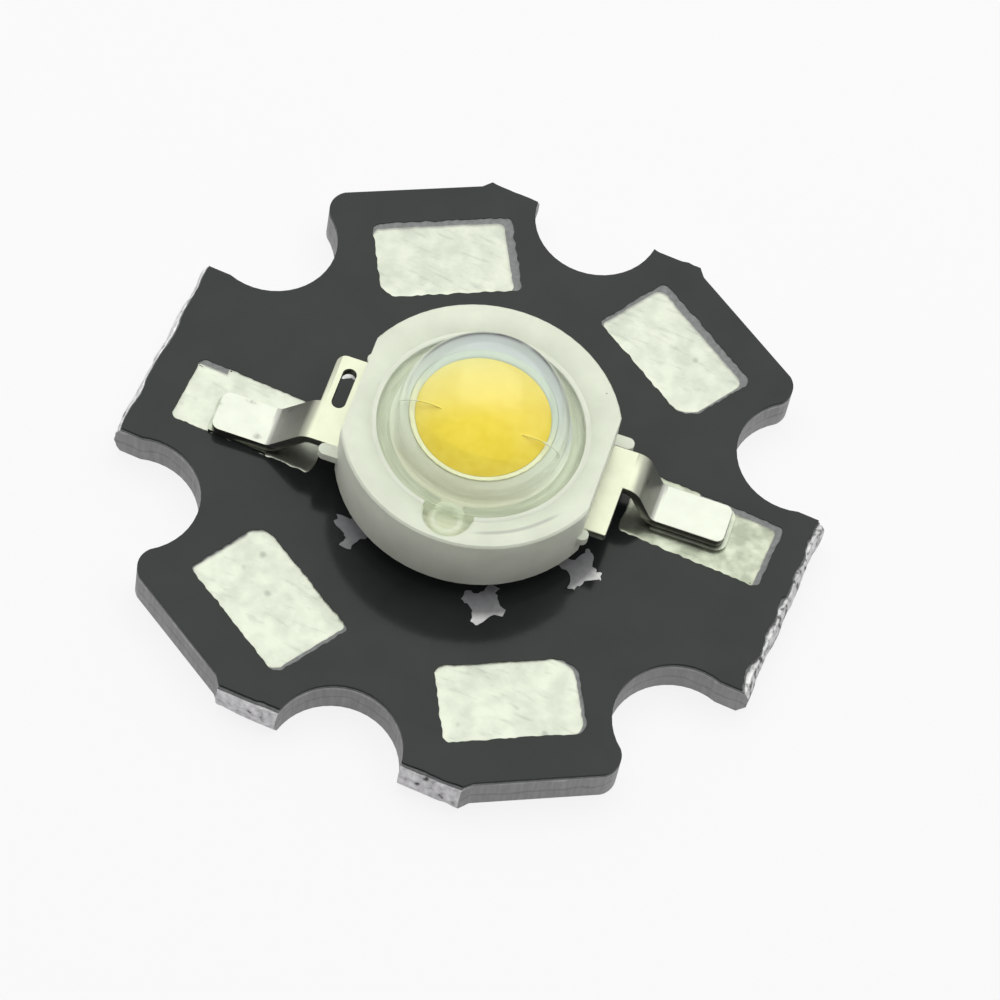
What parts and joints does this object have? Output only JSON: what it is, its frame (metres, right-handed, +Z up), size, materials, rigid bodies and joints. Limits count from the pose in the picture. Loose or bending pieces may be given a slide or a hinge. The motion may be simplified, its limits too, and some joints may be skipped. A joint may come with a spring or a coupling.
{
  "type": "star board power LED",
  "caption": "High-power LED emitter with a clear dome and gull-wing leads, soldered on a six-lobed aluminium-core star board with tinned wire pads and open screw notches.",
  "frame": {"origin": "centre of the screw circle on the underside of the board", "axes": "+Z up through the lens, +X through the right lead and the right side lobe, +Y towards the upper lobes"},
  "size_m": [0.02, 0.0196, 0.0069],
  "materials": {
    "aluminium": "rolled sheet, punched and broken edges",
    "laminate": "grey filled epoxy laminate",
    "copper_foil": "etched copper foil",
    "black_mask": "satin black lacquer",
    "tin": "mottled tin coat",
    "solder": "bright solder",
    "plated_slug": "silver-plated copper",
    "white_nylon": "moulded white nylon",
    "plated_lead": "silver-plated sheet",
    "attach_film": "silver-filled adhesive",
    "sapphire_chip": "polished chip",
    "gold_wire": "drawn gold wire",
    "phosphor_silicone": "yellow phosphor in silicone",
    "white_silicone": "white cast silicone",
    "clear_gel": "clear silicone gel",
    "clear_lens": "clear polished lens"
  },
  "bodies": {
    "root": {"aluminium_base": "aluminium", "dielectric_layer": "laminate", "anode_copper": "copper_foil", "cathode_copper": "copper_foil", "thermal_land": "copper_foil", "solder_mask": "black_mask", "tin_upper_left": "tin", "tin_upper_right": "tin", "tin_lower_left": "tin", "tin_lower_right": "tin", "tin_anode_pad": "tin", "tin_cathode_pad": "tin", "anode_solder": "solder", "cathode_solder": "solder", "slug_solder": "solder", "heat_slug": "plated_slug", "housing": "white_nylon", "anode_lead": "plated_lead", "cathode_lead": "plated_lead", "die_attach": "attach_film", "led_die": "sapphire_chip", "anode_wire": "gold_wire", "cathode_wire": "gold_wire", "cavity_fill": "white_silicone", "phosphor": "phosphor_silicone", "gel_fill": "clear_gel", "lens": "clear_lens"}
  },
  "joints": []
}
